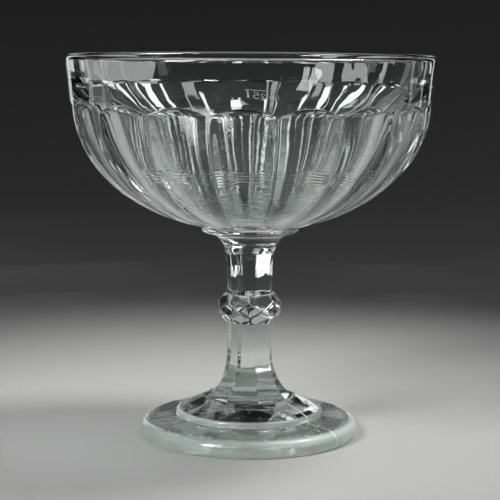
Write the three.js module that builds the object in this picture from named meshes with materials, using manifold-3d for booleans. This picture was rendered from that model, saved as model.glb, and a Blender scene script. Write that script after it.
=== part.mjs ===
// A footed wheat-beer goblet in clear pressed glass: a wide bowl with arched flutes, a wafer,
// an eight-sided stem with a faceted knop, and a round foot in two steps.
// Millimetres, +Z up. The origin is the centre of the face that the foot stands on.
// Angles are measured round the axis from -Y, the front, towards +X.

import * as THREE from 'three';
import { ConvexGeometry } from 'three/addons/geometries/ConvexGeometry.js';
import { mergeVertices } from 'three/addons/utils/BufferGeometryUtils.js';
import Module from 'manifold-3d';

const wasm = await Module();
wasm.setup();

// Heights of the faces on which the pieces are fused together
const PLATE_TOP = 8.2;
const DISC_TOP = 16.0;
const KNOP_BOTTOM = 47.3;
const KNOP_TOP = 59.2;
const NECK_BOTTOM = 76.2;
const COLLAR_BOTTOM = 84.5;
const BOWL_BOTTOM = 87.1;
const LIP_TOP = 156.9;

// Bowl
const LIP_RADIUS = 75.0;
const LIP_ROUNDING = 2.0;
const LIP_SIDE = LIP_TOP - LIP_ROUNDING;
const BELLY_RADIUS = 73.3;
const BELLY_HEIGHT = 136.7;
const BELLY_DEPTH = 51.7;

// Hollow of the bowl: part of a ball, as the press's plunger leaves it
const HOLLOW_RADIUS = 71.0;
const HOLLOW_FLOOR = 91.3;
const HOLLOW_CENTRE = HOLLOW_FLOOR + HOLLOW_RADIUS;

// Flutes round the bowl, with sharp ridges between them and an arched ledge above each
const FLUTES = 18;
const RIDGE_ANGLE = THREE.MathUtils.degToRad(7.8);
const FLUTE_DEPTH = 2.2;
const FLUTE_TOP = 134.9;
const FLUTE_TOP_DROP = 0.3;
const ARCH_TOP = 138.6;
const ARCH_RISE = 3.3;
const STEPS_PER_FLUTE = 6;

// Collar: the wafer of glass between the bowl and the stem
const COLLAR_RADIUS = 20.1;
const COLLAR_FOOT_RADIUS = 17.9;

// Neck and stem
const STEM_SIDES = 8;
const STEM_ANGLE = THREE.MathUtils.degToRad(13.9);
const UPPER_STEM_RADIUS = 9.75;
const LOWER_STEM_RADIUS = 9.6;
const NECK_RADIUS = 10.5;
const NECK_REACH = 10.4;
const NECK_PANEL_TOP = 77.5;
const STEM_WIDENS_AT = 69.2;
const STEM_WIDENING = 0.017;
const FLARE_START = 34.6;
const FLARE_REACH = 13.8;
const FLARE_HEIGHT = 20.2;

// Knop
const KNOP_ANGLE = THREE.MathUtils.degToRad(2.5);
const KNOP_RADIUS = 13.9;
const KNOP_END_RADIUS = 10.3;

// Foot
const DISC_RADIUS = 30.2;
const DISC_EDGE_TOP = 11.2;
const DISC_ROUNDING = 1.4;
const DISC_NECK_RADIUS = 18.5;
const FOOT_RADIUS = 45.0;
const FOOT_WIDEST_AT = 3.5;
const FOOT_EDGE_TOP = 7.2;
const FOOT_EDGE_REACH = 5.5;
const FOOT_STAND_RADIUS = 44.1;
const FOOT_DOME_RADIUS = 33.5;
const FOOT_DOME_HEIGHT = 1.8;

// Steps round the pieces that are round
const STEM_STEPS = 48;
const DISC_STEPS = 60;
const PLATE_STEPS = 72;

const point = (radius, height) => new THREE.Vector2(radius, height);

// Points of an elliptical arc in the profile plane, from one angle to another in degrees,
// with 0 pointing outwards and 90 pointing up
function arc(centreRadius, centreHeight, reach, height, from, to, steps) {
  return Array.from({ length: steps + 1 }, (_, i) => {
    const angle = THREE.MathUtils.degToRad(from + ((to - from) * i) / steps);
    return point(centreRadius + reach * Math.cos(angle), centreHeight + height * Math.sin(angle));
  });
}

// A profile turned round the Z axis, with its first corner at the start angle
function turned(profile, sides, start = 0) {
  return new THREE.LatheGeometry(profile, sides, start).rotateX(Math.PI / 2);
}

function solidOf(geometry) {
  const bare = geometry.clone();
  bare.deleteAttribute('normal');
  bare.deleteAttribute('uv');
  const merged = mergeVertices(bare, 1e-4);
  const vertProperties = new Float32Array(merged.attributes.position.array);
  const triVerts = withoutSlivers(merged.index.array);
  return new wasm.Manifold(new wasm.Mesh({ numProp: 3, vertProperties, triVerts }));
}

// A turned profile that touches the axis has triangles there with two equal corners
function withoutSlivers(index) {
  const kept = [];
  for (let i = 0; i < index.length; i += 3) {
    const [a, b, c] = [index[i], index[i + 1], index[i + 2]];
    if (a !== b && b !== c && c !== a) kept.push(a, b, c);
  }
  return new Uint32Array(kept);
}

function geometryOf(solid) {
  const { vertProperties, triVerts } = solid.getMesh();
  const geometry = new THREE.BufferGeometry();
  geometry.setAttribute('position', new THREE.BufferAttribute(vertProperties, 3));
  geometry.setIndex(new THREE.BufferAttribute(triVerts, 1));
  geometry.computeVertexNormals();
  return geometry;
}

// Outside of the bowl on its ridges: half an ellipse, then a band that opens a little to the lip
function bowlRadius(height) {
  if (height > BELLY_HEIGHT) {
    const share = (height - BELLY_HEIGHT) / (LIP_SIDE - BELLY_HEIGHT);
    return THREE.MathUtils.lerp(BELLY_RADIUS, LIP_RADIUS, share);
  }
  const drop = (BELLY_HEIGHT - height) / BELLY_DEPTH;
  return BELLY_RADIUS * Math.sqrt(1 - drop * drop);
}

function bowlOutside() {
  const lowest = Math.asin((BELLY_HEIGHT - BOWL_BOTTOM) / BELLY_DEPTH);
  const highest = Math.asin((BELLY_HEIGHT - FLUTE_TOP) / BELLY_DEPTH);
  const rows = 12;
  const fluted = Array.from({ length: rows + 1 }, (_, i) => {
    const angle = THREE.MathUtils.lerp(lowest, highest, i / rows);
    const height = BELLY_HEIGHT - BELLY_DEPTH * Math.sin(angle);
    return point(bowlRadius(height), height);
  });
  const band = [ARCH_TOP, (ARCH_TOP + LIP_SIDE) / 2].map((height) => point(bowlRadius(height), height));
  return [...fluted, ...band];
}

function bowlProfile() {
  const outerLip = arc(LIP_RADIUS - LIP_ROUNDING, LIP_SIDE, LIP_ROUNDING, LIP_ROUNDING, 0, 90, 3);
  const turn = Math.asin((LIP_SIDE - HOLLOW_CENTRE) / HOLLOW_RADIUS);
  const innerEdge = HOLLOW_RADIUS * Math.cos(turn);
  const innerLip = arc(innerEdge + LIP_ROUNDING, LIP_SIDE, LIP_ROUNDING, LIP_ROUNDING, 90, 180, 3);
  const start = THREE.MathUtils.radToDeg(turn);
  const hollow = arc(0, HOLLOW_CENTRE, HOLLOW_RADIUS, HOLLOW_RADIUS, start, -90, 12);
  hollow[hollow.length - 1].x = 0;
  return [point(0, BOWL_BOTTOM), ...bowlOutside(), ...outerLip, ...innerLip, ...hollow.slice(1)];
}

// Place across a flute: -1 and 1 on the ridges beside it, 0 on its middle line
function acrossFlute(angle) {
  const turns = ((angle - RIDGE_ANGLE) / (2 * Math.PI)) * FLUTES;
  return (turns - Math.floor(turns)) * 2 - 1;
}

// The outside is pressed in between the ridges, in proportion to the bowl's width there,
// and the row of points under the band bends down to each ridge as an arch
function pressFlutes(geometry) {
  const position = geometry.attributes.position;
  const vertex = new THREE.Vector3();
  for (let i = 0; i < position.count; i += 1) {
    vertex.fromBufferAttribute(position, i);
    const radius = Math.hypot(vertex.x, vertex.y);
    const across = acrossFlute(Math.atan2(vertex.x, -vertex.y));
    const outside = Math.abs(radius - bowlRadius(vertex.z)) < 0.01;
    if (!outside || vertex.z > ARCH_TOP + 0.01) continue;
    if (vertex.z > FLUTE_TOP + 0.01) {
      vertex.z -= ARCH_RISE * across * across;
      position.setXYZ(i, vertex.x, vertex.y, vertex.z);
      continue;
    }
    const depth = FLUTE_DEPTH * (radius / BELLY_RADIUS) * (1 - across * across);
    const shrink = (radius - depth) / radius;
    const drop = vertex.z > FLUTE_TOP - 0.01 ? FLUTE_TOP_DROP * across * across : 0;
    position.setXYZ(i, vertex.x * shrink, vertex.y * shrink, vertex.z - drop);
  }
  geometry.computeVertexNormals();
  return geometry;
}

function makeBowl() {
  return pressFlutes(turned(bowlProfile(), FLUTES * STEPS_PER_FLUTE, RIDGE_ANGLE));
}

function makeCollar() {
  const half = (BOWL_BOTTOM - COLLAR_BOTTOM) / 2;
  const bead = arc(COLLAR_RADIUS - half, COLLAR_BOTTOM + half, half, half, -60, 90, 6);
  return turned([
    point(0, COLLAR_BOTTOM),
    point(COLLAR_FOOT_RADIUS, COLLAR_BOTTOM),
    ...bead,
    point(0, BOWL_BOTTOM),
  ], STEM_STEPS);
}

// The neck's round flare is part of an ellipse that stands upright at the stem
// and has reached the collar's foot radius at the collar
const NECK_TURN = Math.acos(1 - (COLLAR_FOOT_RADIUS - NECK_RADIUS) / NECK_REACH);
const NECK_HEIGHT = (COLLAR_BOTTOM - NECK_BOTTOM) / Math.sin(NECK_TURN);

function neckRadius(height) {
  const share = (height - NECK_BOTTOM) / NECK_HEIGHT;
  return NECK_RADIUS + NECK_REACH * (1 - Math.sqrt(1 - share * share));
}

// The eight flats of the stem lean out above the neck's foot, so that each of them
// runs out into the round flare as an arch
function makeNeck() {
  const end = THREE.MathUtils.radToDeg(NECK_TURN);
  const flare = arc(NECK_RADIUS + NECK_REACH, NECK_BOTTOM, -NECK_REACH, NECK_HEIGHT, 0, end, 9);
  const round = turned([point(0, NECK_BOTTOM), ...flare, point(0, COLLAR_BOTTOM)], STEM_STEPS);
  const cornerToFlat = Math.cos(Math.PI / STEM_SIDES);
  const flats = turned([
    point(0, NECK_BOTTOM),
    point(upperStemRadius(NECK_BOTTOM), NECK_BOTTOM),
    point(neckRadius(NECK_PANEL_TOP) / cornerToFlat, NECK_PANEL_TOP),
    point((COLLAR_FOOT_RADIUS + 1) / cornerToFlat, COLLAR_BOTTOM),
    point(0, COLLAR_BOTTOM),
  ], STEM_SIDES, STEM_ANGLE);
  return geometryOf(solidOf(round).intersect(solidOf(flats)));
}

function upperStemRadius(height) {
  const above = Math.max(0, height - STEM_WIDENS_AT);
  return UPPER_STEM_RADIUS + STEM_WIDENING * above * above;
}

function makeUpperStem() {
  const steps = 4;
  const widening = Array.from({ length: steps + 1 }, (_, i) => {
    const height = THREE.MathUtils.lerp(STEM_WIDENS_AT, NECK_BOTTOM, i / steps);
    return point(upperStemRadius(height), height);
  });
  return turned([
    point(0, KNOP_TOP),
    point(UPPER_STEM_RADIUS, KNOP_TOP),
    ...widening,
    point(0, NECK_BOTTOM),
  ], STEM_SIDES, STEM_ANGLE);
}

// An eight-sided prism whose corners are cut off above and below by slanted facets,
// which leaves a diamond on each side
function makeKnop() {
  const middle = (KNOP_BOTTOM + KNOP_TOP) / 2;
  const halfHeight = (KNOP_TOP - KNOP_BOTTOM) / 2;
  const halfSide = Math.PI / STEM_SIDES;
  const flat = KNOP_RADIUS * Math.cos(halfSide);
  const facetReach = KNOP_RADIUS - KNOP_END_RADIUS * Math.cos(halfSide);
  const share = (KNOP_RADIUS - flat * Math.cos(halfSide)) / facetReach;
  const rings = [
    { radius: KNOP_END_RADIUS, height: KNOP_BOTTOM, turn: 0 },
    { radius: flat, height: middle - halfHeight * share, turn: 0 },
    { radius: KNOP_RADIUS, height: middle, turn: halfSide },
    { radius: flat, height: middle + halfHeight * share, turn: 0 },
    { radius: KNOP_END_RADIUS, height: KNOP_TOP, turn: 0 },
  ];
  const corners = rings.flatMap(({ radius, height, turn }) =>
    Array.from({ length: STEM_SIDES }, (_, i) => {
      const angle = KNOP_ANGLE + turn + 2 * halfSide * i;
      return new THREE.Vector3(radius * Math.sin(angle), -radius * Math.cos(angle), height);
    }));
  return new ConvexGeometry(corners);
}

function makeLowerStem() {
  const reach = FLARE_START - DISC_TOP;
  const end = THREE.MathUtils.radToDeg(Math.asin(reach / FLARE_HEIGHT));
  const flare = arc(LOWER_STEM_RADIUS + FLARE_REACH, FLARE_START, -FLARE_REACH, -FLARE_HEIGHT, end, 0, 9);
  return turned([
    point(0, DISC_TOP),
    ...flare,
    point(LOWER_STEM_RADIUS, KNOP_BOTTOM),
    point(0, KNOP_BOTTOM),
  ], STEM_SIDES, STEM_ANGLE);
}

function makeFootDisc() {
  const shoulder = arc(
    DISC_RADIUS - DISC_ROUNDING,
    DISC_EDGE_TOP - DISC_ROUNDING,
    DISC_ROUNDING,
    DISC_ROUNDING,
    0,
    65,
    3,
  );
  return turned([
    point(0, PLATE_TOP),
    point(DISC_RADIUS, PLATE_TOP),
    ...shoulder,
    point(DISC_NECK_RADIUS, DISC_TOP),
    point(0, DISC_TOP),
  ], DISC_STEPS);
}

// The plate stands on a flat ring round a shallow dome
function makeFootPlate() {
  const dome = [0, 0.4, 0.75, 1].map((share) =>
    point(FOOT_DOME_RADIUS * share, FOOT_DOME_HEIGHT * (1 - share * share)));
  const underEdge = arc(
    FOOT_STAND_RADIUS,
    FOOT_WIDEST_AT,
    FOOT_RADIUS - FOOT_STAND_RADIUS,
    FOOT_WIDEST_AT,
    -90,
    0,
    3,
  );
  const overEdge = arc(
    FOOT_RADIUS - FOOT_EDGE_REACH,
    FOOT_WIDEST_AT,
    FOOT_EDGE_REACH,
    FOOT_EDGE_TOP - FOOT_WIDEST_AT,
    0,
    90,
    6,
  );
  return turned([
    ...dome,
    ...underEdge,
    ...overEdge.slice(1),
    point(DISC_RADIUS, PLATE_TOP),
    point(0, PLATE_TOP),
  ], PLATE_STEPS);
}

function glass(tint) {
  return new THREE.MeshStandardMaterial({
    color: tint,
    roughness: 0.04,
    metalness: 0,
    transparent: true,
    opacity: 0.45,
  });
}

const PIECES = [
  { name: 'foot_plate', make: makeFootPlate, tint: '#c3d8ce' },
  { name: 'foot_disc', make: makeFootDisc, tint: '#c9dcd3' },
  { name: 'lower_stem', make: makeLowerStem, tint: '#d0e0d9' },
  { name: 'knop', make: makeKnop, tint: '#cbdcd5' },
  { name: 'upper_stem', make: makeUpperStem, tint: '#d0e0d9' },
  { name: 'neck', make: makeNeck, tint: '#cbdcd5' },
  { name: 'collar', make: makeCollar, tint: '#c3d8ce' },
  { name: 'bowl', make: makeBowl, tint: '#dae6e2' },
];

const goblet = new THREE.Group();
for (const { name, make, tint } of PIECES) {
  const mesh = new THREE.Mesh(make(), glass(tint));
  mesh.name = name;
  goblet.add(mesh);
}

export default goblet;
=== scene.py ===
# %% [markdown]
# # A footed goblet for wheat beer, in pressed glass
#
# The real object is one body of clear soda-lime glass. The fluted bowl was pressed in one mould,
# stem and foot in another, and a wafer of hot glass sticks the two together. Nothing moves.
#
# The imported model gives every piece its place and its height. Here each piece gets its fine
# surface: soft facets, fire-polished edges, arched flutes. All lengths are in metres, +Z is up,
# and the origin is the middle of the ring on which the foot stands. The front is at -Y.

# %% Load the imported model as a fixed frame
import math

import bpy
import numpy as np
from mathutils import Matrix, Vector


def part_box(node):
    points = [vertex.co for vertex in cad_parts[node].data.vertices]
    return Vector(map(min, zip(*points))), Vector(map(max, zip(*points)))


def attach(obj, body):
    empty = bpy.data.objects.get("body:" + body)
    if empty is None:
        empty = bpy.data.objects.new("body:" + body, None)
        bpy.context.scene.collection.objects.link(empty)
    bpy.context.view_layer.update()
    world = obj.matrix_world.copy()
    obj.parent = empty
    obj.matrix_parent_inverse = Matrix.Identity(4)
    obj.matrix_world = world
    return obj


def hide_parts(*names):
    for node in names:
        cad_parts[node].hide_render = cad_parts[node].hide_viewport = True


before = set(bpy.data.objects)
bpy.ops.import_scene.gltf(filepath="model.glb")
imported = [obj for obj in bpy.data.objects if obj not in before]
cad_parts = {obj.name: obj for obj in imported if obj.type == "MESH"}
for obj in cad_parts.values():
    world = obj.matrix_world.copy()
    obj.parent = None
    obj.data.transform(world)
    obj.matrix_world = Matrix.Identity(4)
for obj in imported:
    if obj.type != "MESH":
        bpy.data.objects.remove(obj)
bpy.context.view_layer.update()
MM = 0.001


def levels_of(node):
    """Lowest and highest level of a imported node."""
    low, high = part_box(node)
    return low[2], high[2]


def reach_of(node):
    """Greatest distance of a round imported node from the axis."""
    low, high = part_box(node)
    return max(high[0], high[1])


PLATE_TOP = levels_of("foot_plate")[1]
DISC_TOP = levels_of("foot_disc")[1]
KNOP_BOTTOM, KNOP_TOP = levels_of("knop")
NECK_BOTTOM, COLLAR_BOTTOM = levels_of("neck")
BOWL_BOTTOM, LIP_TOP = levels_of("bowl")
fused_levels = (PLATE_TOP, DISC_TOP, KNOP_BOTTOM, KNOP_TOP, NECK_BOTTOM, COLLAR_BOTTOM, BOWL_BOTTOM)
print("fused faces at, in mm:", [round(level / MM, 1) for level in fused_levels])

# %% [markdown]
# ## Camera
#
# The picture is taken from about two thirds of a metre, a little above the lip, with a long lens.
# The tilt and a roll of a third of a degree come from the ellipses of lip, knop and foot.
# A camera looks along its own -Z, so a quarter turn about X makes it look level along +Y.

# %% Make the camera
EYE_DISTANCE = 654.6 * MM
EYE_HEIGHT = 167.9 * MM
LOOKS_DOWN = math.radians(7.92)
ROLL = math.radians(0.35)
FOCAL_LENGTH = 115.3


def make_camera():
    """A camera whose 36 mm sensor spans the width of the picture."""
    lens = bpy.data.cameras.new("eye")
    lens.sensor_fit = "HORIZONTAL"
    lens.lens = FOCAL_LENGTH
    camera = bpy.data.objects.new("eye", lens)
    bpy.context.scene.collection.objects.link(camera)
    camera.location = (0, -EYE_DISTANCE, EYE_HEIGHT)
    camera.rotation_mode = "ZYX"
    camera.rotation_euler = (math.pi / 2 - LOOKS_DOWN, 0, ROLL)
    return camera


bpy.context.scene.camera = make_camera()
print("the camera stands", round(EYE_DISTANCE, 3), "m in front of the axis")

# %% [markdown]
# ## Meshes from rings
#
# Every piece of a goblet is a stack of rings round one axis, so one helper makes them all.
# A ring is an array of points, and a stack of rings is a grid with one row per ring. The rings run
# anticlockwise seen from above, so that a climbing stack has its faces pointing outwards.

# %% Points on rings
def around(angles, radius, height):
    """Points round the axis. The angle a runs from the front towards +X, so a point is
    (r sin a, -r cos a, z). Radius and height broadcast against the angles, one row per ring."""
    radius, height, angles = np.broadcast_arrays(radius, height, angles)
    return np.stack([radius * np.sin(angles), -radius * np.cos(angles), height], axis=-1)


def arc(centre_radius, centre_height, across, up, start, end, steps):
    """Radius and height along part of an ellipse, by its angle in degrees: 0 outwards, 90 up."""
    turn = np.radians(np.linspace(start, end, steps + 1))
    return centre_radius + across * np.cos(turn), centre_height + up * np.sin(turn)


def straight(start, end, steps):
    """Radius and height along a straight line, without its first point."""
    share = np.linspace(0, 1, steps + 1)[1:]
    return tuple(low + (high - low) * share for low, high in zip(start, end))


def joined(*stretches):
    """One profile from several stretches, as columns of radius and of height."""
    radius = np.concatenate([np.atleast_1d(stretch[0]) for stretch in stretches])
    height = np.concatenate([np.atleast_1d(stretch[1]) for stretch in stretches])
    return radius[:, None], height[:, None]


# %% [markdown]
# Where two pieces are fused there is no surface in the real glass. A fused end is closed by one
# flat face with a second, empty finish, which light crosses as if it weren't there. Its rim is
# marked sharp, so that the flat face doesn't bend the shading of the skin beside it.

# %% A closed mesh from a stack of rings
FUSED = "fused"
CLOSED = "closed"
SKIN = 0
FUSED_FACE = 1


def ring_faces(rows, columns):
    """Four-cornered faces between neighbouring rings, each ring closed on itself."""
    here = np.arange(columns)
    after = (here + 1) % columns
    start = (np.arange(rows - 1) * columns)[:, None]
    corners = [start + here, start + after, start + columns + after, start + columns + here]
    return np.stack(corners, axis=-1).reshape(-1, 4)


def mark_rims(mesh, rims):
    """Marks the edges that have both ends on one rim as sharp."""
    pairs = np.empty(len(mesh.edges) * 2, dtype=np.int32)
    mesh.edges.foreach_get("vertices", pairs)
    sharp = np.zeros(len(mesh.edges), dtype=bool)
    for rim in rims:
        sharp |= np.isin(pairs.reshape(-1, 2), rim).all(axis=1)
    mesh.attributes.new("sharp_edge", "BOOLEAN", "EDGE").data.foreach_set("value", sharp)


def new_object(name, points, faces):
    """A smooth-shaded object at the origin from points and lists of corners."""
    mesh = bpy.data.meshes.new(name)
    mesh.from_pydata(points, [], faces)
    mesh.polygons.foreach_set("use_smooth", np.ones(len(mesh.polygons), dtype=bool))
    thing = bpy.data.objects.new(name, mesh)
    bpy.context.scene.collection.objects.link(thing)
    print(name, "has", len(mesh.polygons), "faces")
    return thing


def body_of_rings(name, rings, first=FUSED, last=FUSED):
    """A closed body from a stack of rings. A closed end is a fan of triangles to a point on the
    axis, and a fused end is one flat face."""
    rows, columns, _ = rings.shape
    points = rings.reshape(-1, 3)
    skin = ring_faces(rows, columns).tolist()
    ends = [(first, np.arange(columns)[::-1]), (last, np.arange(columns) + (rows - 1) * columns)]
    for kind, rim in ends:
        if kind == CLOSED:
            fan = [rim, np.roll(rim, -1), np.full(columns, len(points))]
            skin += np.stack(fan, axis=-1).tolist()
            points = np.concatenate([points, [[0.0, 0.0, points[rim, 2].mean()]]])
    fused = [rim for kind, rim in ends if kind == FUSED]
    body = new_object(name, points, skin + [rim.tolist() for rim in fused])
    finish = np.full(len(body.data.polygons), SKIN, dtype=np.int32)
    finish[len(skin):] = FUSED_FACE
    body.data.polygons.foreach_set("material_index", finish)
    mark_rims(body.data, fused)
    return body


# %% [markdown]
# ## Unevenness
#
# Pressed glass is reheated until its skin softens, and no surface stays truly even. A few slow
# waves, far too low to see in the outline, are enough to make reflections swim a little. The
# waves depend only on the place, so two pieces that meet bend alike.

# %% Slow waves in space
WAVES = 7
WAVE_SEED = 3


def waves(points, length):
    """Mean of sine waves that run in random directions, about one wave per length. Each wave is
    the sine of direction times place plus a phase."""
    chance = np.random.default_rng(WAVE_SEED)
    directions = chance.normal(size=(WAVES, 3)) * 2 * math.pi / length / math.sqrt(3)
    phases = chance.uniform(0, 2 * math.pi, WAVES)
    return np.sin(points @ directions.T + phases).mean(axis=-1)


def held_ends(rings, held):
    """A factor for each ring: 0 at both ends of the stack, and 1 from some rings inwards. It is 1
    everywhere if no ring is held."""
    if held == 0:
        return np.ones((len(rings), 1))
    row = np.arange(len(rings))
    return np.clip(np.minimum(row, row[::-1]) / held, 0, 1)[:, None]


def uneven_outline(rings, depth, length, held=0):
    """The rings with each point moved towards the axis by a wave, at most by the depth."""
    radius = np.hypot(rings[..., 0], rings[..., 1])
    drawn_in = depth * (1 - waves(rings, length)) / 2 * held_ends(rings, held)
    factor = 1 - drawn_in / np.maximum(radius, depth)
    return np.stack([rings[..., 0] * factor, rings[..., 1] * factor, rings[..., 2]], axis=-1)


def uneven_top(rings, depth, length, held=3):
    """The rings with each point lowered by a wave, at most by the depth."""
    lowered = depth * (1 - waves(rings, length)) / 2 * held_ends(rings, held)
    return rings - lowered[..., None] * [0, 0, 1]


# %% [markdown]
# ## Soft facets
#
# Stem and knop are cut by flat planes, and in fire-polished glass the edges between them are soft.
# Along one direction, each plane is met at some distance from the axis, and the nearest one counts.
# A high power mean of the reciprocal distances picks nearly the nearest, and rounds the edge where
# two planes are equally near. One power gives one softness for all facets.

# %% Radius of a prism with soft edges
SIDES = 8
CORNER_TO_FLAT = math.cos(math.pi / SIDES)
SOFTNESS = 100


def facings(corner):
    """Directions that the flats face when one corner of the prism is at the given angle."""
    return corner + (np.arange(SIDES) + 0.5) * 2 * math.pi / SIDES


def nearest_plane(angles, directions, distances, round_limit=None, power=SOFTNESS):
    """Radius at which a line from the axis meets the nearest of several upright planes. The
    radius to one plane is its distance over the cosine of the angle between, and the power mean
    of the reciprocals picks the smallest softly. A round limit counts as one more plane."""
    turn = angles[None, :, None] - directions[None, None, :]
    closeness = np.clip(np.cos(turn), 0, None) / distances[:, None, :]
    if round_limit is not None:
        limit = np.broadcast_to(1 / round_limit[:, None, None], closeness[..., :1].shape)
        closeness = np.concatenate([closeness, limit], axis=-1)
    peak = closeness.max(axis=-1, keepdims=True)
    mean = ((closeness / peak) ** power).sum(axis=-1, keepdims=True) ** (1 / power)
    return 1 / (peak * mean)[..., 0]


# %% [markdown]
# ## Stem
#
# The shaft has eight flats. Above, it widens a little and its flats run out as arches into the
# round flare under the wafer. Below, it flares to the foot, still with eight sides. A quarter of
# an ellipse gives both flares.

# %% Upper stem
STEM_CORNER = math.radians(13.9)
STEM_COLUMNS = 320
STEM_WAVE_DEPTH = 0.15 * MM
STEM_WAVE_LENGTH = 12 * MM
UPPER_STEM_RADIUS = 9.75 * MM
STEM_WIDENS_AT = 69.2 * MM
STEM_WIDENING = 0.017 / MM
stem_angles = np.arange(STEM_COLUMNS) * 2 * math.pi / STEM_COLUMNS


def prism(corner_radius):
    """Distances of the eight flats for each corner radius in an array."""
    return np.repeat(np.atleast_1d(corner_radius)[:, None] * CORNER_TO_FLAT, SIDES, axis=1)


def stem_body(name, angles, radius, levels):
    """A fused body between two levels, with the stem's unevenness."""
    rings = around(angles, radius, levels[:, None])
    return body_of_rings(name, uneven_outline(rings, STEM_WAVE_DEPTH, STEM_WAVE_LENGTH))


def upper_stem_corner(height):
    """Corner radius of the shaft: even, then growing with the square of the height."""
    return UPPER_STEM_RADIUS + STEM_WIDENING * np.clip(height - STEM_WIDENS_AT, 0, None) ** 2


def make_upper_stem():
    """The plain shaft between knop and neck."""
    levels = np.linspace(KNOP_TOP, NECK_BOTTOM, 40)
    radius = nearest_plane(stem_angles, facings(STEM_CORNER), prism(upper_stem_corner(levels)))
    return stem_body("polished_upper_stem", stem_angles, radius, levels)


upper_stem = make_upper_stem()

# %% Neck and collar
NECK_RADIUS = 10.5 * MM
NECK_REACH = 10.4 * MM
NECK_PANEL_TOP = 77.5 * MM
COLLAR_FOOT_RADIUS = 17.9 * MM
FLATS_RUN_OUT = 1.0 * MM
COLLAR_WAVE_DEPTH = 0.5 * MM
COLLAR_WAVE_LENGTH = 9 * MM


def neck_radius(height):
    """The round flare: part of an ellipse that is upright at the stem and has reached the
    collar's foot at the collar."""
    turn = math.acos(1 - (COLLAR_FOOT_RADIUS - NECK_RADIUS) / NECK_REACH)
    rise = (COLLAR_BOTTOM - NECK_BOTTOM) / math.sin(turn)
    share = np.clip((height - NECK_BOTTOM) / rise, 0, 1)
    return NECK_RADIUS + NECK_REACH * (1 - np.sqrt(1 - share * share))


def make_neck():
    """The flare, with the stem's flats leaning outwards until they leave it."""
    levels = np.linspace(NECK_BOTTOM, COLLAR_BOTTOM, 48)
    start = upper_stem_corner(NECK_BOTTOM) * CORNER_TO_FLAT
    knots = [NECK_BOTTOM, NECK_PANEL_TOP, COLLAR_BOTTOM]
    reaches = [start, neck_radius(NECK_PANEL_TOP), COLLAR_FOOT_RADIUS + FLATS_RUN_OUT]
    flats = np.repeat(np.interp(levels, knots, reaches)[:, None], SIDES, axis=1)
    radius = nearest_plane(stem_angles, facings(STEM_CORNER), flats, neck_radius(levels))
    return stem_body("polished_neck", stem_angles, radius, levels)


def make_collar():
    """The wafer: a bead squeezed out between stem and bowl, rounder and more uneven than the
    rest, because nothing but the glassmaker's tool shaped it."""
    half = (BOWL_BOTTOM - COLLAR_BOTTOM) / 2
    bead = arc(reach_of("collar") - half, COLLAR_BOTTOM + half, half, half, -75, 90, 20)
    rings = around(stem_angles, *joined((COLLAR_FOOT_RADIUS, COLLAR_BOTTOM), bead))
    rings = uneven_outline(rings, COLLAR_WAVE_DEPTH, COLLAR_WAVE_LENGTH, held=2)
    return body_of_rings("polished_collar", rings)


neck = make_neck()
collar = make_collar()

# %% Lower stem
LOWER_STEM_RADIUS = 9.6 * MM
FLARE_START = 34.6 * MM
FLARE_REACH = 13.8 * MM
FLARE_HEIGHT = 20.2 * MM


def lower_stem_corner(height):
    """Corner radius: straight above, and below a quarter of an ellipse that leans outwards."""
    share = np.clip((FLARE_START - height) / FLARE_HEIGHT, 0, 1)
    return LOWER_STEM_RADIUS + FLARE_REACH * (1 - np.sqrt(1 - share * share))


def stem_outline(corner_radius, angles):
    """Soft eight-sided outline of the stem at one level, as a single ring."""
    return nearest_plane(angles, facings(STEM_CORNER), prism(corner_radius))


def make_lower_stem():
    """The shaft below the knop, with its flare on to the foot."""
    levels = np.linspace(DISC_TOP, KNOP_BOTTOM, 90)
    radius = nearest_plane(stem_angles, facings(STEM_CORNER), prism(lower_stem_corner(levels)))
    return stem_body("polished_lower_stem", stem_angles, radius, levels)


lower_stem = make_lower_stem()

# %% [markdown]
# ## Knop
#
# The knop is an eight-sided prism whose corners are cut off above and below by slanted facets,
# which leaves an upright diamond on each side. Twenty-four planes describe it: eight upright ones,
# eight that lean in above and eight below. The same power mean softens all of their edges.

# %% Knop
KNOP_CORNER = math.radians(2.5)
KNOP_RADIUS = 13.9 * MM
KNOP_END_RADIUS = 10.35 * MM
KNOP_SOFTNESS = 75
KNOP_COLUMNS = 256
knop_angles = np.arange(KNOP_COLUMNS) * 2 * math.pi / KNOP_COLUMNS


def knop_radius(levels):
    """Distance of each plane at each level: the diamonds are upright, and the slanted facets
    go from the corner radius at the middle to the end radius at top and bottom."""
    middle = (KNOP_BOTTOM + KNOP_TOP) / 2
    lean = (KNOP_RADIUS - KNOP_END_RADIUS * CORNER_TO_FLAT) / (KNOP_TOP - middle)
    upright = prism(np.full(len(levels), KNOP_RADIUS))
    above = np.repeat((KNOP_RADIUS - lean * (levels - middle))[:, None], SIDES, axis=1)
    below = np.repeat((KNOP_RADIUS + lean * (levels - middle))[:, None], SIDES, axis=1)
    slanted = facings(KNOP_CORNER)
    directions = np.concatenate([slanted - math.pi / SIDES, slanted, slanted])
    distances = np.concatenate([upright, above, below], axis=1)
    return nearest_plane(knop_angles, directions, distances, power=KNOP_SOFTNESS)


def make_knop():
    """The knop, with flat ends that reach in to the outline of the stem."""
    levels = np.linspace(KNOP_BOTTOM, KNOP_TOP, 72)
    below = stem_outline(LOWER_STEM_RADIUS, knop_angles)
    above = stem_outline(UPPER_STEM_RADIUS, knop_angles)
    radius = np.concatenate([below, knop_radius(levels), above])
    levels = np.concatenate([levels[:1], levels, levels[-1:]])
    return stem_body("polished_knop", knop_angles, radius, levels)


knop = make_knop()

# %% [markdown]
# ## Foot
#
# The foot is a small raised disc on a wide plate with a full rounded edge. The mould that pressed
# it opened in two halves, and left a fine raised seam across disc and plate. The columns of the
# mesh crowd together beside the seam, so that it is made of real relief.

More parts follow.
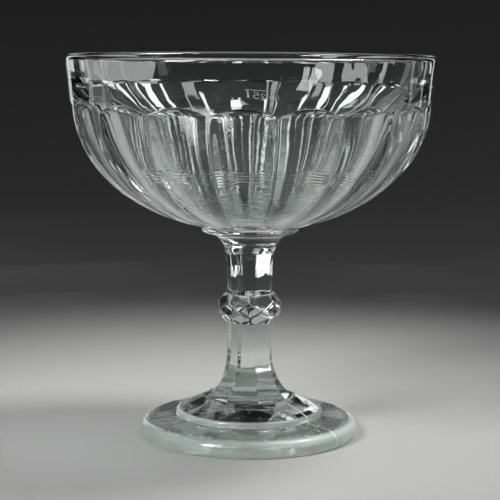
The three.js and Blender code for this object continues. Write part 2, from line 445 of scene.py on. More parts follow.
# %% Mould seam
SEAM_ANGLES = np.radians([52.0, 232.0])
SEAM_HEIGHT = 0.25 * MM
SEAM_WIDTH = 0.35 * MM
SEAM_SPREAD = 0.03
SEAM_CLEARANCE = 0.035
SEAM_COLUMNS = 25
FOOT_COLUMNS = 320


def foot_columns():
    """Even angles, with close ones in their place across each seam."""
    even = np.arange(FOOT_COLUMNS) * 2 * math.pi / FOOT_COLUMNS
    close = (SEAM_ANGLES[:, None] + np.linspace(-SEAM_SPREAD, SEAM_SPREAD, SEAM_COLUMNS)).ravel()
    clear = np.abs(even[:, None] - SEAM_ANGLES).min(axis=1) > SEAM_CLEARANCE
    return np.sort(np.concatenate([even[clear], close]))


foot_angles = foot_columns()


def seam(radius):
    """Height of the seam over the skin: a narrow bell curve of the distance from its line."""
    away = np.abs(foot_angles[None, :, None] - SEAM_ANGLES).min(axis=-1) * radius
    return SEAM_HEIGHT * np.exp(-((away / SEAM_WIDTH) ** 2))


# %% Foot disc
DISC_RADIUS = reach_of("foot_disc")
DISC_EDGE_TOP = 11.2 * MM
DISC_ROUNDING = 1.4 * MM
DISC_FILLET = 0.7 * MM
DISC_NECK_RADIUS = 18.5 * MM
FOOT_WAVE_DEPTH = 0.1 * MM
FOOT_WAVE_LENGTH = 11 * MM


def make_foot_disc():
    """A hollow fillet on the plate, a rounded shoulder, and a slope up to the stem."""
    edge = DISC_RADIUS - DISC_ROUNDING
    bend = DISC_FILLET
    fillet = arc(DISC_RADIUS + bend, PLATE_TOP + bend, -bend, -bend, 88, 0, 8)
    shoulder = arc(edge, DISC_EDGE_TOP - DISC_ROUNDING, DISC_ROUNDING, DISC_ROUNDING, 0, 65, 14)
    slope = straight((shoulder[0][-1], shoulder[1][-1]), (DISC_NECK_RADIUS, DISC_TOP), 13)
    radius, height = joined(fillet, shoulder, slope)
    relief = seam(radius)
    relief[[0, -1]] = 0
    rings = around(foot_angles, radius + relief / 2, height + relief)
    rings = uneven_top(rings, FOOT_WAVE_DEPTH, FOOT_WAVE_LENGTH)
    seat = around(foot_angles, stem_outline(lower_stem_corner(DISC_TOP), foot_angles), DISC_TOP)
    seat = uneven_outline(seat, STEM_WAVE_DEPTH, STEM_WAVE_LENGTH)
    return body_of_rings("polished_foot_disc", np.concatenate([rings, seat]))


foot_disc = make_foot_disc()

# %% Foot plate
FOOT_RADIUS = reach_of("foot_plate")
FOOT_WIDEST_AT = 3.5 * MM
FOOT_EDGE_TOP = 7.2 * MM
FOOT_EDGE_REACH = 5.5 * MM
FOOT_STAND_RADIUS = 44.1 * MM
FOOT_DOME_RADIUS = 33.5 * MM
FOOT_DOME_HEIGHT = 1.8 * MM
PLATE_TOP_ROWS = 12


def make_foot_plate():
    """From the middle of the shallow dome underneath, over the ring that it stands on and the
    rounded edge, up to the foot of the disc."""
    share = np.linspace(0, 1, 40)[1:]
    dome = (FOOT_DOME_RADIUS * share, FOOT_DOME_HEIGHT * (1 - share * share))
    tuck = FOOT_RADIUS - FOOT_STAND_RADIUS
    edge = FOOT_RADIUS - FOOT_EDGE_REACH
    under = arc(FOOT_STAND_RADIUS, FOOT_WIDEST_AT, tuck, FOOT_WIDEST_AT, -90, 0, 16)
    over = arc(edge, FOOT_WIDEST_AT, FOOT_EDGE_REACH, FOOT_EDGE_TOP - FOOT_WIDEST_AT, 0, 90, 24)
    top = straight((edge, FOOT_EDGE_TOP), (DISC_RADIUS + DISC_FILLET, PLATE_TOP), PLATE_TOP_ROWS)
    radius, height = joined(dome, under, (over[0][1:], over[1][1:]), top)
    outward = np.clip((radius - edge) / FOOT_EDGE_REACH, 0, 1)
    relief = seam(radius)
    relief[height[:, 0] < FOOT_WIDEST_AT] = 0
    relief[-1] = 0
    reach = radius + (relief - SEAM_HEIGHT) * outward
    rings = around(foot_angles, reach, height + relief * (1 - outward))
    upper = rings[-PLATE_TOP_ROWS:]
    rings[-PLATE_TOP_ROWS:] = uneven_top(upper, FOOT_WAVE_DEPTH, FOOT_WAVE_LENGTH)
    return body_of_rings("polished_foot_plate", rings, first=CLOSED)


foot_plate = make_foot_plate()

# %% [markdown]
# ## Bowl
#
# Outside, the bowl is half an ellipse under a plain band that opens a little to the lip. Eighteen
# flutes are pressed into it. A flute is a shallow hollow between two ridges, and ends above in a
# cove under an arched ledge.
#
# The grid follows the form: its columns crowd together at the ridges, and its rows bend with the
# arches, so that ridge and ledge lie on lines of the mesh and stay crisp.

# %% Flutes
FLUTES = 18
FLUTE_TURN = 2 * math.pi / FLUTES
RIDGE = math.radians(7.8)
FLUTE_DEPTH = 2.75 * MM
BELLY_RADIUS = 73.3 * MM
RIDGE_SOFTNESS = 0.22
HALF_FLUTE_COLUMNS = 13
CROWDING = 1.3


def flute_columns():
    """Place across a flute, -1 and 1 on its ridges and 0 in its middle, and the angle of each
    column. The distance from a ridge grows with a power of the step, so columns crowd there."""
    away = (np.arange(HALF_FLUTE_COLUMNS) / HALF_FLUTE_COLUMNS) ** CROWDING
    across = np.concatenate([away - 1, [0], 1 - away[:0:-1]])
    start = RIDGE + np.arange(FLUTES)[:, None] * FLUTE_TURN
    return np.tile(across, FLUTES), (start + (across + 1) / 2 * FLUTE_TURN).ravel()


def flute_depth(across):
    """Depth of a flute over the belly's radius: a parabola, with the corner at each ridge
    rounded by a square root."""
    parabola = 1 - across * across
    return FLUTE_DEPTH / BELLY_RADIUS * (np.hypot(parabola, RIDGE_SOFTNESS) - RIDGE_SOFTNESS)


across, bowl_angles = flute_columns()

# %% Outside of the bowl
LIP_RADIUS = reach_of("bowl")
LIP_ROUNDING = 2.0 * MM
LIP_SIDE = LIP_TOP - LIP_ROUNDING
BELLY_HEIGHT = 136.7 * MM
BELLY_DEPTH = 51.7 * MM
FLUTE_TOP = 134.9 * MM
FLUTE_TOP_DROP = 0.3 * MM
ARCH_TOP = 138.6 * MM
ARCH_RISE = 3.3 * MM
LEDGE_ROUNDING = 0.12
BAND_ROWS = np.array([0.01, 0.04, 0.1, 0.25, 0.5, 0.75, 1])[:, None]
BOWL_WAVE_DEPTH = 0.4 * MM
BOWL_WAVE_LENGTH = 26 * MM


def bowl_radius(height):
    """Radius on the ridges: half an ellipse, and above its middle a straight band to the lip."""
    drop = np.clip((BELLY_HEIGHT - height) / BELLY_DEPTH, 0, 1)
    climb = np.clip((height - BELLY_HEIGHT) / (LIP_SIDE - BELLY_HEIGHT), 0, 1)
    return BELLY_RADIUS * np.sqrt(1 - drop * drop) + (LIP_RADIUS - BELLY_RADIUS) * climb


def ledge_profile():
    """Share of the cove's height and share of the flute's depth that is left: a hollow quarter
    turn, then a small round one that ends on the band."""
    turn = np.linspace(0, math.pi / 2, 10)[1:, None]
    turn_back = np.linspace(0, math.pi / 2, 6)[1:, None]
    rest = 1 - LEDGE_ROUNDING
    edge_climb = rest + LEDGE_ROUNDING * (1 - np.cos(turn_back))
    edge_depth = LEDGE_ROUNDING * (1 - np.sin(turn_back))
    climb = np.concatenate([rest * np.sin(turn), edge_climb])
    depth = np.concatenate([LEDGE_ROUNDING + rest * np.cos(turn), edge_depth])
    return climb, depth


def outside_rings():
    """Rows in three zones: flute, cove, and the plain band up to the lip."""
    flute_top = FLUTE_TOP - FLUTE_TOP_DROP * across**2
    arch = ARCH_TOP - ARCH_RISE * across**2
    lowest = math.asin((BELLY_HEIGHT - BOWL_BOTTOM) / BELLY_DEPTH)
    highest = np.arcsin((BELLY_HEIGHT - flute_top) / BELLY_DEPTH)
    share = np.linspace(0, 1, 46)[:, None]
    flute = BELLY_HEIGHT - BELLY_DEPTH * np.sin(lowest + (highest - lowest) * share)
    climb, left = ledge_profile()
    cove = flute_top + (arch - flute_top) * climb
    band = arch + (LIP_SIDE - arch) * BAND_ROWS
    left = np.concatenate([np.ones_like(share), left, 0 * BAND_ROWS])
    height = np.concatenate([flute, cove, band])
    rings = around(bowl_angles, bowl_radius(height) * (1 - flute_depth(across) * left), height)
    return uneven_outline(rings, BOWL_WAVE_DEPTH, BOWL_WAVE_LENGTH, held=2)


# %% [markdown]
# Inside, the plunger leaves part of a ball. Where the glass first touched the cold plunger it
# froze in a belt of fine rings, the chill ripples. They wander and fade in and out on the way
# round, and here they are real relief.

# %% Lip and hollow of the bowl
HOLLOW_RADIUS = 71.0 * MM
HOLLOW_FLOOR = 91.3 * MM
HOLLOW_CENTRE = HOLLOW_FLOOR + HOLLOW_RADIUS
RIPPLES_START = math.radians(43.8)
RIPPLES_END = math.radians(50.5)
RIPPLE_LENGTH = 1.35 * MM
RIPPLE_HEIGHT = 0.05 * MM
RIPPLE_WANDER = 0.9 * MM


def ripples(turn):
    """Height of the chill ripples over the ball, for the angle up from its lowest point: a sine
    of the length of arc, which wanders slowly round the bowl, in a belt that fades at its edges."""
    fade = np.clip((turn - RIPPLES_START) / (RIPPLES_END - RIPPLES_START), 0, 1)
    a = bowl_angles
    wander = np.sin(3 * a + 1) + 0.7 * np.sin(7 * a + 2)
    wander = wander + 0.5 * np.sin(16 * a) + 0.3 * np.sin(37 * a + 1)
    patches = 0.6 + 0.25 * np.sin(11 * a + 40 * turn) + 0.15 * np.sin(29 * a - 90 * turn)
    arc_length = HOLLOW_RADIUS * turn + RIPPLE_WANDER * wander / 2
    belt = np.sin(math.pi * fade) ** 0.7
    return RIPPLE_HEIGHT * belt * patches * np.sin(2 * math.pi * arc_length / RIPPLE_LENGTH)


def inside_rings():
    """The lip is two quarter rounds, and the hollow is part of a ball down to its floor."""
    lip_turn = math.acos((HOLLOW_CENTRE - LIP_SIDE) / HOLLOW_RADIUS)
    inner_edge = HOLLOW_RADIUS * math.sin(lip_turn) + LIP_ROUNDING
    outer = arc(LIP_RADIUS - LIP_ROUNDING, LIP_SIDE, LIP_ROUNDING, LIP_ROUNDING, 0, 90, 10)
    inner = arc(inner_edge, LIP_SIDE, LIP_ROUNDING, LIP_ROUNDING, 90, 180, 10)
    lip = around(bowl_angles, *joined((outer[0][1:], outer[1][1:]), inner))
    above = np.linspace(lip_turn, RIPPLES_END, 24)[1:]
    belt = np.linspace(RIPPLES_END, RIPPLES_START, 46)[1:]
    below = np.linspace(RIPPLES_START, 0, 30)[1:-1]
    turn = np.concatenate([above, belt, below])[:, None]
    reach = HOLLOW_RADIUS - ripples(turn)
    ball = around(bowl_angles, reach * np.sin(turn), HOLLOW_CENTRE - reach * np.cos(turn))
    return np.concatenate([lip, ball])


def make_bowl():
    """One closed body: the fused face under it, the outside, the lip and the hollow."""
    collar_top = reach_of("collar") - (BOWL_BOTTOM - COLLAR_BOTTOM) / 2
    seat = around(bowl_angles, np.full((1, 1), collar_top), BOWL_BOTTOM)
    rings = np.concatenate([seat, outside_rings(), inside_rings()])
    return body_of_rings("polished_bowl", rings, last=CLOSED)


bowl = make_bowl()

# %% [markdown]
# ## Capacity mark
#
# A public house must show how far a glass is to be filled. A line and plain numbers are etched
# into the outside of the far wall, in one flute, to be read from behind. They follow the flute:
# strokes are drawn on a flat sheet, with one axis along the angle and one along the height, and
# each point of the sheet is then laid on the glass.

# %% Strokes of the mark
MARK_HEIGHT = 128.1 * MM
MARK_START = math.radians(168.7)
MARK_END = math.radians(182.7)
MARK_LENGTH = (MARK_END - MARK_START) * BELLY_RADIUS
HOOK_START = 0.9 * MM
HOOK_DROP = 3.4 * MM
STROKE_WIDTH = 0.62 * MM
STROKE_THICKNESS = 0.05 * MM
STROKE_LIFT = 0.01 * MM
DIGIT_HEIGHT = 5.6 * MM
DIGIT_TOP = -1.0 * MM
TEXT_SLOPE = 0.25


def bow(centre, size, start, end, steps=16):
    """Points on part of an ellipse in the sheet, angles in degrees, 0 to the right and 90 up."""
    turn = np.radians(np.linspace(start, end, steps))
    right = centre[0] + size[0] * np.cos(turn)
    up = centre[1] + size[1] * np.sin(turn)
    return np.stack([right, up], axis=-1)


def line(*points, steps=8):
    """Points along a line with corners, close enough to bend with the glass."""
    points = np.array(points, dtype=float)
    corner = np.arange(len(points))
    share = np.linspace(0, len(points) - 1, steps * (len(points) - 1) + 1)
    return np.stack([np.interp(share, corner, points[:, axis]) for axis in (0, 1)], axis=-1)


DIGIT_STROKES = {
    "0": bow((0.3, 0.5), (0.3, 0.5), 90, 450, 33),
    ".": line((0.06, 0.0), (0.06, 0.1), steps=2),
    "2": np.concatenate([bow((0.3, 0.72), (0.28, 0.28), 165, -30), line((0.04, 0), (0.62, 0))]),
    "5": np.concatenate([
        line((0.56, 1), (0.12, 1), (0.08, 0.56)),
        bow((0.28, 0.33), (0.3, 0.32), 120, -155),
    ]),
    "l": line((0.06, 0.0), (0.06, 1.1)),
}
DIGIT_PLACES = [("0", 0.0), (".", 0.86), ("2", 1.2), ("5", 2.08), ("l", 2.98)]


# %% Lay the strokes on the glass
def on_far_flute(sheet, lift):
    """Points of the sheet on the far flute: the first coordinate is a length round the belly
    from the mark's start, read from behind, and the second a height over the line."""
    angle = MARK_START + sheet[..., 0] / BELLY_RADIUS
    height = MARK_HEIGHT + sheet[..., 1]
    place = ((angle - RIDGE) / FLUTE_TURN % 1) * 2 - 1
    radius = bowl_radius(height) * (1 - flute_depth(place))
    skin = uneven_outline(around(angle, radius, height), BOWL_WAVE_DEPTH, BOWL_WAVE_LENGTH)
    outward = np.stack([np.sin(angle), -np.cos(angle), 0 * angle], axis=-1)
    return skin + outward * lift


def stroke_parts(path, first_point):
    """A flat closed ribbon along a path in the sheet: at each step two points on the glass and
    two over them, half a stroke to each side of the path, and a face at each end."""
    along = np.gradient(path, axis=0)
    along /= np.linalg.norm(along, axis=1, keepdims=True)
    side = np.stack([-along[:, 1], along[:, 0]], axis=-1) * STROKE_WIDTH / 2
    right, left = (path - side)[None], (path + side)[None]
    top = STROKE_LIFT + STROKE_THICKNESS
    edges = [(right, STROKE_LIFT), (left, STROKE_LIFT), (left, top), (right, top)]
    points = np.stack([on_far_flute(sheet, lift)[0] for sheet, lift in edges], axis=1)
    last = first_point + (len(path) - 1) * 4
    first_face = [first_point + corner for corner in (3, 2, 1, 0)]
    last_face = [last + corner for corner in (0, 1, 2, 3)]
    faces = ring_faces(len(path), 4) + first_point
    return points.reshape(-1, 3), faces.tolist() + [first_face, last_face]


def mark_paths():
    """The fill line with its short hook, and the numbers under it."""
    corner = (HOOK_START, 0)
    paths = [line((HOOK_START, -HOOK_DROP), corner, (MARK_LENGTH, 0), steps=24)]
    for digit, place in DIGIT_PLACES:
        path = (DIGIT_STROKES[digit] + [place, -1]) * DIGIT_HEIGHT
        path[:, 1] += DIGIT_TOP + TEXT_SLOPE * (path[:, 0] - MARK_LENGTH)
        paths.append(path)
    return paths


def make_mark():
    """All strokes as one piece."""
    points = np.empty((0, 3))
    faces = []
    for path in mark_paths():
        more_points, more_faces = stroke_parts(path, len(points))
        points = np.concatenate([points, more_points])
        faces += more_faces
    piece = new_object("capacity_mark", points, faces)
    piece.data.polygons.foreach_set("use_smooth", np.zeros(len(faces), dtype=bool))
    return piece


capacity_mark = make_mark()

# %% [markdown]
# ## Shader maths in Python
#
# A socket wrapped in a small class can be added and multiplied like a number, and each operator
# puts one Math node into the tree. Any other node comes from one method of the finish.

# %% Helpers for node trees
def plug(node, sockets):
    """Sets or links the sockets of a node, which are named or numbered."""
    for key, item in sockets.items():
        if isinstance(item, Value):
            node.id_data.links.new(item.socket, node.inputs[key])
        else:
            node.inputs[key].default_value = item


class Value:
    """What a node gives out: a number, a vector or a colour."""

    def __init__(self, socket):
        self.socket = socket

    def maths(self, operation, *items):
        node = self.socket.id_data.nodes.new("ShaderNodeMath")
        node.operation = operation
        plug(node, dict(enumerate(items)))
        return Value(node.outputs[0])

    def __add__(self, other):
        return self.maths("ADD", self, other)

    def __sub__(self, other):
        return self.maths("SUBTRACT", self, other)

    def __rsub__(self, other):
        return self.maths("SUBTRACT", other, self)

    def __mul__(self, other):
        return self.maths("MULTIPLY", self, other)

    __radd__ = __add__
    __rmul__ = __mul__


class Finish:
    """A material, with a method that adds any node."""

    def __init__(self, name):
        self.material = bpy.data.materials.new(name)
        self.material.use_nodes = True
        self.tree = self.material.node_tree
        self.tree.nodes.clear()

    def node(self, kind, settings, sockets, output=0):
        """One node, from its type, its settings, and the values or links of its sockets."""
        node = self.tree.nodes.new("ShaderNode" + kind)
        for key, setting in settings.items():
            setattr(node, key, setting)
        plug(node, sockets)
        return Value(node.outputs[output])

    def place(self):
        """Object coordinates: the place on the piece, in metres."""
        return self.node("TexCoord", {}, {}, output="Object")

    def axis(self, place, name):
        """One coordinate of a place."""
        return self.node("SeparateXYZ", {}, {"Vector": place}, output=name)

    def length(self, vector):
        """The length of a vector."""
        return self.node("VectorMath", {"operation": "LENGTH"}, {0: vector}, output="Value")

    def ramp(self, value, low, high):
        """0 below the low limit and 1 above the high one, with a soft start and end."""
        limits = {"Value": value, "From Min": low, "From Max": high}
        return self.node("MapRange", {"interpolation_type": "SMOOTHSTEP"}, limits)

    def blend(self, factor, first, second):
        """A colour between two others, which go into the node's sockets 6 and 7."""
        colours = {"Factor": factor, 6: (*first, 1), 7: (*second, 1)}
        return self.node("Mix", {"data_type": "RGBA"}, colours, output=2)

    def noise(self, place, scale, detail=2.0):
        """Cloudy noise between 0 and 1, with its scale in waves per metre."""
        return self.node("TexNoise", {}, {"Vector": place, "Scale": scale, "Detail": detail})

    def stretched(self, place, factors):
        """The place with each axis multiplied by its own factor."""
        return self.node("Mapping", {}, {"Vector": place, "Scale": factors})

    def ends_in(self, shader):
        """The finished material."""
        plug(self.tree.nodes.new("ShaderNodeOutputMaterial"), {"Surface": shader})
        return self.material


# %% [markdown]
# ## Clear glass
#
# Glass needs little: full transmission and the index of soda-lime glass. What makes it look real
# is what isn't perfect. The faint green of iron shows where light has gone a long way, so the tint
# deepens low in the bowl and towards the rim of the foot. The skin swims a little and has a fine
# grain from the mould. Use leaves scratches: a rubbed ring under the foot, and a few touches
# elsewhere. On the foot's rims and seam a pale, matte finish is mixed in. It is painted light, a
# painted highlight that is strongest on the right, where the light falls.

# %% Parts that all glass finishes share
GLASS_INDEX = 1.52


def glass_shader(finish, colour, roughness, height, distance):
    """Principled shader for clear glass, with a height field that bends its normal."""
    bump = finish.node("Bump", {}, {"Height": height, "Distance": distance})
    sockets = {
        "Base Color": colour,
        "Roughness": roughness,
        "IOR": GLASS_INDEX,
        "Transmission Weight": 1.0,
        "Normal": bump,
    }
    return finish.node("BsdfPrincipled", {}, sockets)


def touches(finish, place):
    """Roughness of handled glass: smooth, with rare faint spots."""
    spots = finish.ramp(finish.noise(place, scale=420, detail=4), 0.6, 0.85)
    return spots * 0.05


# %% Glass of the bowl
CRIZZLE_TOP = HOLLOW_CENTRE - HOLLOW_RADIUS * math.cos(RIPPLES_START)
CRIZZLE_FADE = 3 * MM
HOLLOW_SKIN = 0.5 * MM
GREENEST_AT = 95 * MM
CLEAREST_AT = 150 * MM
BOWL_GREEN = (0.9, 0.963, 0.94)
BOWL_CLEAR = (0.955, 0.983, 0.973)


def crizzled_hollow(finish, place, level):
    """The hollow's lower part froze on the plunger and has a crizzled skin. It is told from the
    outside by its distance from the middle of the ball."""
    middle = (0, 0, HOLLOW_CENTRE)
    offset = finish.node("VectorMath", {"operation": "SUBTRACT"}, {0: place, 1: middle})
    skin = HOLLOW_RADIUS + HOLLOW_SKIN
    inside = 1 - finish.ramp(finish.length(offset), skin, skin + HOLLOW_SKIN)
    low = 1 - finish.ramp(level, CRIZZLE_TOP - CRIZZLE_FADE, CRIZZLE_TOP)
    return finish.noise(place, scale=650, detail=3) * inside * low


def bowl_glass():
    """The flutes have a faint grain that lies level, from the tool that cut the mould, and all of
    the skin swims a little."""
    finish = Finish("bowl_glass")
    place = finish.place()
    level = finish.axis(place, "Z")
    crizzle = crizzled_hollow(finish, place, level)
    fluted = 1 - finish.ramp(level, FLUTE_TOP, ARCH_TOP)
    grain = finish.noise(finish.stretched(place, (350, 350, 1000)), scale=1, detail=2) * fluted
    swim = finish.noise(place, scale=90, detail=1)
    height = crizzle * 0.7 + grain * 0.08 + swim * 0.65
    colour = finish.blend(finish.ramp(level, GREENEST_AT, CLEAREST_AT), BOWL_GREEN, BOWL_CLEAR)
    glass = glass_shader(finish, colour, touches(finish, place), height, 0.15 * MM)
    return finish.ends_in(glass)


# %% Glass of the stem
STEM_CLEAR = (0.965, 0.987, 0.978)
STEM_GREEN = (0.945, 0.978, 0.965)


def stem_glass():
    """The facets have a grain that runs along the stem, from the draw of the mould."""
    finish = Finish("stem_glass")
    place = finish.place()
    draw = finish.noise(finish.stretched(place, (500, 500, 130)), scale=1, detail=2)
    height = draw * 0.3 + finish.noise(place, scale=120, detail=1) * 0.6
    colour = finish.blend(finish.noise(place, scale=50), STEM_CLEAR, STEM_GREEN)
    glass = glass_shader(finish, colour, touches(finish, place), height, 0.1 * MM)
    return finish.ends_in(glass)


# %% Relief of the foot, and painted light on its rims
DOME_SKIN = (1.9 * MM, 2.1 * MM)
CRINKLED_SIDE = (-20 * MM, 15 * MM)
# The bands and strengths below are for painted light on the rims and seam: a painted highlight,
# strongest on the right.
RIM_LIGHT_BAND = 4.5 * MM
DISC_LIGHT_BAND = 1.6 * MM
RIM_LIGHT_LEFT = 0.27
RIM_LIGHT_RIGHT = 0.69
DISC_RIM_LIGHT = 0.35
SEAM_LIGHT = 0.5


def foot_relief(finish, place, level):
    """Crinkled under the dome, most of all on the left, and a little uneven everywhere."""
    under = 1 - finish.ramp(level, *DOME_SKIN)
    left = 1 - finish.ramp(finish.axis(place, "X"), *CRINKLED_SIDE) * 0.75
    crinkle = finish.noise(place, scale=330, detail=3) * under * left
    return crinkle * 0.7 + finish.noise(place, scale=160, detail=2) * 0.12


def painted_rim_light(finish, place, level, radius):
    """Painted light on both rims: a pale matte finish mixed into the glass as a painted highlight.
    On the plate's rim it is strongest on the right, where the light falls. There the seam gets a
    pale painted highlight too, as a line."""
    rim = finish.ramp(radius, FOOT_RADIUS - RIM_LIGHT_BAND, FOOT_RADIUS - RIM_LIGHT_BAND / 3)
    disc_rim_light = finish.ramp(radius, DISC_RADIUS - DISC_LIGHT_BAND, DISC_RADIUS - DISC_LIGHT_BAND / 3)
    disc_rim_light = disc_rim_light * finish.ramp(level, PLATE_TOP, PLATE_TOP + DISC_LIGHT_BAND / 2)
    across = (math.cos(SEAM_ANGLES[0]), math.sin(SEAM_ANGLES[0]), 0)
    product = {"operation": "DOT_PRODUCT"}
    off_seam = finish.node("VectorMath", product, {0: place, 1: across}, output="Value")
    off_seam = finish.node("Math", {"operation": "ABSOLUTE"}, {0: off_seam})
    lit_seam = 1 - finish.ramp(off_seam, SEAM_WIDTH / 3, SEAM_WIDTH * 1.3)
    # The painted light grows from left to right, towards the side where the light falls.
    right = finish.ramp(finish.axis(place, "X"), -30 * MM, 30 * MM)
    side_light = right * (RIM_LIGHT_RIGHT - RIM_LIGHT_LEFT) + RIM_LIGHT_LEFT
    return rim * side_light + disc_rim_light * DISC_RIM_LIGHT + lit_seam * right * SEAM_LIGHT


# %% Glass of the foot
FOOT_CLEAR = (0.95, 0.982, 0.97)
FOOT_GREEN = (0.86, 0.95, 0.92)
FOOT_GREENS_FROM = 30 * MM
# A pale matte finish that stands in for light on the rims and seam: painted light, not wear.
PAINTED_LIGHT_FINISH = {"Base Color": (0.86, 0.96, 0.92, 1), "Roughness": 0.35}


def foot_glass():
    """Greener towards the rim, rubbed dull on the ring that it stands on, and with pale painted
    light mixed in on its rims and seam.
    """
    finish = Finish("foot_glass")
    place = finish.place()
    level = finish.axis(place, "Z")
    flat = finish.node("VectorMath", {"operation": "MULTIPLY"}, {0: place, 1: (1, 1, 0)})
    radius = finish.length(flat)
    on_table = 1 - finish.ramp(level, 0.05 * MM, 0.3 * MM)
    rubbed = on_table * finish.ramp(finish.noise(place, scale=900, detail=4), 0.35, 0.7) * 0.35
    roughness = rubbed + touches(finish, place)
    greenness = finish.ramp(radius, FOOT_GREENS_FROM, FOOT_RADIUS)
    colour = finish.blend(greenness, FOOT_CLEAR, FOOT_GREEN)
    relief = foot_relief(finish, place, level)
    clear = glass_shader(finish, colour, roughness, relief, 0.18 * MM)
    # The pale finish mixed in here is painted light on the rims and seam.
    painted_light = finish.node("BsdfPrincipled", {}, PAINTED_LIGHT_FINISH)
    share = painted_rim_light(finish, place, level, radius)
    return finish.ends_in(finish.node("MixShader", {}, {0: share, 1: clear, 2: painted_light}))


# %% Etched mark and fused faces
def etched_mark():
    """Glass that acid has made dull and white, a little uneven."""
    finish = Finish("etched_mark")
    cloud = finish.noise(finish.place(), scale=1500, detail=2)
    colour = finish.blend(cloud, (0.8, 0.84, 0.82), (0.92, 0.94, 0.93))
    shader = finish.node("BsdfPrincipled", {}, {"Base Color": colour, "Roughness": 0.75})
    return finish.ends_in(shader)


def fused_face():
    """Nothing at all: light crosses it unbent."""
    finish = Finish("fused_face")
    return finish.ends_in(finish.node("BsdfPrincipled", {}, {"Alpha": 0.0}))


# %% Put finishes on the pieces and say what each stands for
finishes = {"bowl_glass": bowl_glass(), "stem_glass": stem_glass(), "foot_glass": foot_glass()}
empty = fused_face()
PIECES = {
    "foot_plate": (foot_plate, "foot_glass"),
    "foot_disc": (foot_disc, "foot_glass"),
    "lower_stem": (lower_stem, "stem_glass"),
    "knop": (knop, "stem_glass"),
    "upper_stem": (upper_stem, "stem_glass"),
    "neck": (neck, "stem_glass"),
    "collar": (collar, "stem_glass"),
    "bowl": (bowl, "bowl_glass"),
}
for node, (piece, slot) in PIECES.items():
    piece.data.materials.append(finishes[slot])
    piece.data.materials.append(empty)
    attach(piece, "root")
    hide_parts(node)

capacity_mark.data.materials.append(etched_mark())
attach(capacity_mark, "root")
print(len(PIECES) + 1, "pieces ride on the root body")

# %% [markdown]
# ## Studio
#
# Clear glass shows nothing of its own: one sees the room in it, bent and mirrored. On a plain pale
# floor the goblet would nearly vanish. So a pool of light is painted on the floor: pale round the
# goblet, darkening with the distance, and sweeping up into a dark wall. A window with two panes and
# a ceiling lamp light it.
#
# Strips of light stand behind the goblet: low ones that show in the flutes, tall ones at the sides,
# and faint broad ones for the plain band and, higher up, for the knop. The camera sees past all
# lamps and the glass doesn't, so each facet and flute picks a bright strip or the dark wall, and
# its edges show.

# %% Floor and wall in one sweep
FLOOR_LEVEL = -0.05 * MM
FLOOR_RADIUS = 0.55
SWEEP_RADIUS = 1.2
WALL_TOP = 1.5
FLOOR_COLOUR = (0.46, 0.46, 0.455)
WALL_COLOUR = (0.018, 0.018, 0.0185)
# The painted pool of light on the floor: fully pale inside the first distance, wall colour beyond
# the second.
POOL_LIT_TO = 0.09
POOL_DARK_FROM = 0.36
FLOOR_SEGMENTS = 96


def floor_with_painted_light_pool():
    """A painted pool of light: pale round the goblet, darkening with the distance from it."""
    finish = Finish("pale_floor")
    painted_falloff = finish.ramp(finish.length(finish.place()), POOL_LIT_TO, POOL_DARK_FROM)
    colour = finish.blend(painted_falloff, FLOOR_COLOUR, WALL_COLOUR)
    paint = finish.node("BsdfPrincipled", {}, {"Base Color": colour, "Roughness": 1.0})
    return finish.ends_in(paint)


def make_floor():
    """A round floor, a quarter-round sweep and an upright wall, turned round the axis."""
    flat = straight((0.0, FLOOR_LEVEL), (FLOOR_RADIUS, FLOOR_LEVEL), 8)
    sweep = arc(FLOOR_RADIUS, SWEEP_RADIUS + FLOOR_LEVEL, SWEEP_RADIUS, SWEEP_RADIUS, -90, 0, 24)
    wall = (FLOOR_RADIUS + SWEEP_RADIUS, WALL_TOP)
    radius, height = joined(flat, (sweep[0][1:], sweep[1][1:]), wall)
    here = np.arange(FLOOR_SEGMENTS)
    rings = around(here * 2 * math.pi / FLOOR_SEGMENTS, radius, height)
    hub = len(rings) * FLOOR_SEGMENTS
    fan = np.stack([here, np.roll(here, -1), np.full(FLOOR_SEGMENTS, hub)], axis=-1)
    points = np.concatenate([rings.reshape(-1, 3), [[0, 0, FLOOR_LEVEL]]])
    faces = ring_faces(len(rings), FLOOR_SEGMENTS)[:, ::-1].tolist() + fan.tolist()
    floor = new_object("floor", points, faces)
    floor.data.materials.append(floor_with_painted_light_pool())


make_floor()

# %% Window and ceiling lamp
AIM_HEIGHT = 0.09


def make_lamp(name, azimuth, distance, height, size, power):
    """A rectangular soft lamp that faces the goblet, at an angle from the front towards +X.
    The goblet and the floor see it, and the camera sees past it."""
    light = bpy.data.lights.new(name, "AREA")
    light.shape = "RECTANGLE"
    light.size, light.size_y = size
    light.energy = power
    lamp = bpy.data.objects.new(name, light)
    bpy.context.scene.collection.objects.link(lamp)
    turn = math.radians(azimuth)
    lamp.location = (distance * math.sin(turn), -distance * math.cos(turn), height)
    lamp.rotation_euler = (math.pi / 2 - math.atan2(height - AIM_HEIGHT, distance), 0, turn)
    lamp.visible_camera = False


make_lamp("window", azimuth=-43.5, distance=0.9, height=0.75, size=(0.09, 0.42), power=3.2)
make_lamp("window", azimuth=-52, distance=0.9, height=0.75, size=(0.15, 0.42), power=6)
make_lamp("ceiling", azimuth=110, distance=0.5, height=1.1, size=(0.3, 0.4), power=10)

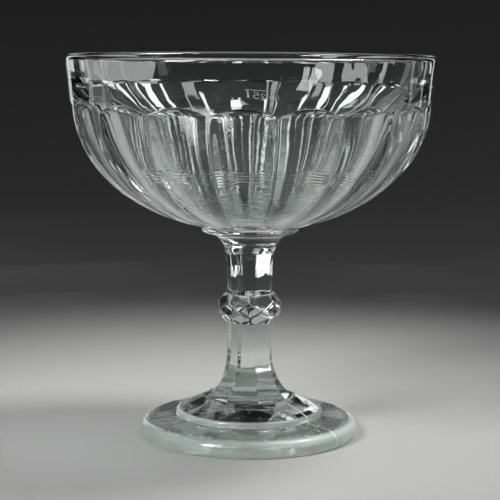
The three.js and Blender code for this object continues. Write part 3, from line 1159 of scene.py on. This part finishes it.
# %% Strips and glows
STRIP_LIGHT = 1.2
GLOW_LIGHT = 0.35
LOW_STRIPS = {
    -172: 0.015, -161: 0.03, -152: 0.055, -138: 0.03,
    174: 0.012, 163: 0.03, 151: 0.02, 138: 0.05, 121: 0.03,
}
TALL_STRIPS = {-151: 0.125, -115: 0.05, -98: 0.033, 148: 0.058, 130: 0.033, 112: 0.05, 73: 0.1}
BAND_GLOWS = {-161: 0.16, 173: 0.012, 169: 0.025, 165: 0.018}
KNOP_GLOWS = {-169: 0.09, 166: 0.05}


def make_strips(widths, distance, low, high, brightness):
    """Upright strip lamps, from widths by azimuth, between two heights. A lamp's power is pi
    times its area times its brightness, so that all look equally bright."""
    for azimuth, width in widths.items():
        power = brightness * math.pi * width * (high - low)
        make_lamp("strip", azimuth, distance, (low + high) / 2, (width, high - low), power)


make_strips(LOW_STRIPS, distance=0.38, low=0.008, high=0.043, brightness=STRIP_LIGHT)
make_strips(TALL_STRIPS, distance=0.7, low=0.012, high=0.46, brightness=STRIP_LIGHT)
make_strips(BAND_GLOWS, distance=0.5, low=0.005, high=0.14, brightness=GLOW_LIGHT)
make_strips(KNOP_GLOWS, distance=0.5, low=0.15, high=0.29, brightness=GLOW_LIGHT)

# %% The room above the wall
ROOM_COLOUR = (0.012, 0.012, 0.0125, 1)


def make_room():
    """A dim room above the wall."""
    world = bpy.data.worlds.new("room")
    world.use_nodes = True
    world.node_tree.nodes["Background"].inputs["Color"].default_value = ROOM_COLOUR
    bpy.context.scene.world = world


make_room()

# %% [markdown]
# ## Picture settings
#
# Light crosses many skins of glass before it leaves, and is totally reflected again and again in a
# thick wall. So it may bend often. Its reflections end earlier, which stands in for the light that
# is swallowed on a long way through glass and leaves the fine dark lines at the bowl's sides.

# %% Settings for the picture
GLASS_BOUNCES = 32
REFLECTIONS = 7
scene = bpy.context.scene
scene.view_settings.view_transform = "Standard"
scene.cycles.max_bounces = GLASS_BOUNCES
scene.cycles.transmission_bounces = GLASS_BOUNCES
scene.cycles.glossy_bounces = REFLECTIONS
scene.cycles.transparent_max_bounces = GLASS_BOUNCES * 2
